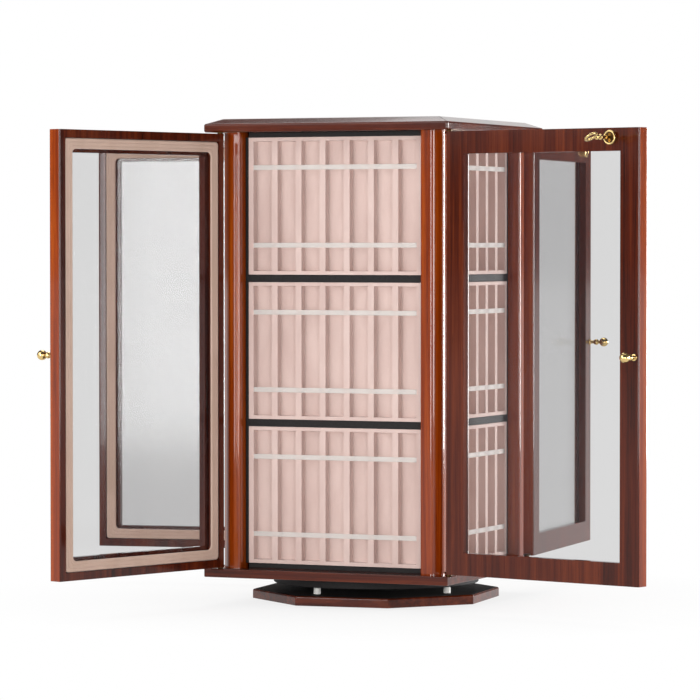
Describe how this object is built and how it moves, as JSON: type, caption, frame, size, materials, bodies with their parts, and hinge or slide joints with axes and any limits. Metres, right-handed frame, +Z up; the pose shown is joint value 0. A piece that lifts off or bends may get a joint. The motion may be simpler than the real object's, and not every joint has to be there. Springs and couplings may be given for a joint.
{
  "type": "revolving strap display cabinet",
  "caption": "Revolving glossy rosewood display tower for watch straps with glazed knife-hinged doors, velour channel trays and an octagonal turntable base.",
  "frame": {"origin": "centre of the felt's flat underside, on the spindle axis", "axes": "+Z up along the spindle, -Y out of the front face, +X out of the right face"},
  "size_m": [0.8868, 0.8842, 0.61],
  "materials": {
    "rosewood": "high-gloss lacquer over rosewood veneer",
    "black_board": "matt black paint",
    "velour": "cream velour flock",
    "elastic": "white woven elastic",
    "glass": "clear float glass",
    "brass": "polished brass",
    "nylon": "natural nylon",
    "felt": "black felt",
    "steel": "turned steel"
  },
  "bodies": {
    "base": {"base_board": "rosewood", "base_felt": "felt", "glide_buttons": "nylon", "spindle": "steel"},
    "cabinet": {"bottom_plate": "rosewood", "ceiling_board": "black_board", "core_box": "black_board", "elastic_bands": "elastic", "floor_board": "black_board", "hinge_fixed_leaves": "brass", "lower_dividers": "black_board", "post_back_left": "rosewood", "post_back_right": "rosewood", "post_front_left": "rosewood", "post_front_right": "rosewood", "side_strips": "black_board", "top_slab": "rosewood", "tray_back_lower": "velour", "tray_back_middle": "velour", "tray_back_upper": "velour", "tray_front_lower": "velour", "tray_front_middle": "velour", "tray_front_upper": "velour", "tray_left_lower": "velour", "tray_left_middle": "velour", "tray_left_upper": "velour", "tray_right_lower": "velour", "tray_right_middle": "velour", "tray_right_upper": "velour", "turning_disc": "black_board", "upper_dividers": "black_board"},
    "front_door": {"front_door_frame": "rosewood", "front_door_glass": "glass", "front_door_liner": "velour", "front_door_knob": "brass", "front_door_lock": "brass", "front_hinge_leaves": "brass"},
    "front_bolt": {"front_lock_bolt": "brass"},
    "right_door": {"right_door_frame": "rosewood", "right_door_glass": "glass", "right_door_liner": "velour", "right_door_knob": "brass", "right_door_lock": "brass", "right_hinge_leaves": "brass"},
    "right_bolt": {"right_lock_bolt": "brass"},
    "back_door": {"back_door_frame": "rosewood", "back_door_glass": "glass", "back_door_liner": "velour", "back_door_knob": "brass", "back_door_lock": "brass", "back_hinge_leaves": "brass"},
    "back_bolt": {"back_lock_bolt": "brass"},
    "left_door": {"left_door_frame": "rosewood", "left_door_glass": "glass", "left_door_liner": "velour", "left_door_knob": "brass", "left_door_lock": "brass", "left_hinge_leaves": "brass"},
    "left_bolt": {"left_lock_bolt": "brass"},
    "key": {"key": "brass"}
  },
  "joints": [
    {"name": "turntable", "type": "hinge", "parent": "base", "child": "cabinet", "pos_m": [0, 0, 0.023], "axis": [0, 0, 1], "continuous": true},
    {"name": "front_door_hinge", "type": "hinge", "parent": "cabinet", "child": "front_door", "pos_m": [-0.145, -0.15875, 0.048], "axis": [0, 0, -1], "range_deg": [-108, 42]},
    {"name": "front_bolt_slide", "type": "slide", "parent": "front_door", "child": "front_bolt", "axis": [0, 0, 1], "range_m": [0, 0.007]},
    {"name": "right_door_hinge", "type": "hinge", "parent": "cabinet", "child": "right_door", "pos_m": [0.15875, -0.145, 0.048], "axis": [0, 0, -1], "range_deg": [-105.4, 44.6]},
    {"name": "right_bolt_slide", "type": "slide", "parent": "right_door", "child": "right_bolt", "axis": [0, 0, 1], "range_m": [0, 0.007]},
    {"name": "back_door_hinge", "type": "hinge", "parent": "cabinet", "child": "back_door", "pos_m": [0.145, 0.15875, 0.048], "axis": [0, 0, -1], "range_deg": [-85, 65]},
    {"name": "back_bolt_slide", "type": "slide", "parent": "back_door", "child": "back_bolt", "axis": [0, 0, 1], "range_m": [0, 0.007]},
    {"name": "left_door_hinge", "type": "hinge", "parent": "cabinet", "child": "left_door", "pos_m": [-0.15875, 0.145, 0.048], "axis": [0, 0, -1], "range_deg": [-80, 70]},
    {"name": "left_bolt_slide", "type": "slide", "parent": "left_door", "child": "left_bolt", "axis": [0, 0, 1], "range_m": [0, 0.007]},
    {"name": "key_turn", "type": "hinge", "parent": "right_door", "child": "key", "pos_m": [0.396, -0.21943, 0.5795], "axis": [-0.2656, -0.9641, 0], "range_deg": [0, 90]}
  ],
  "couplings": [
    {"joint": "right_bolt_slide", "follows": "key_turn", "m_per_rad": 0.004456}
  ]
}
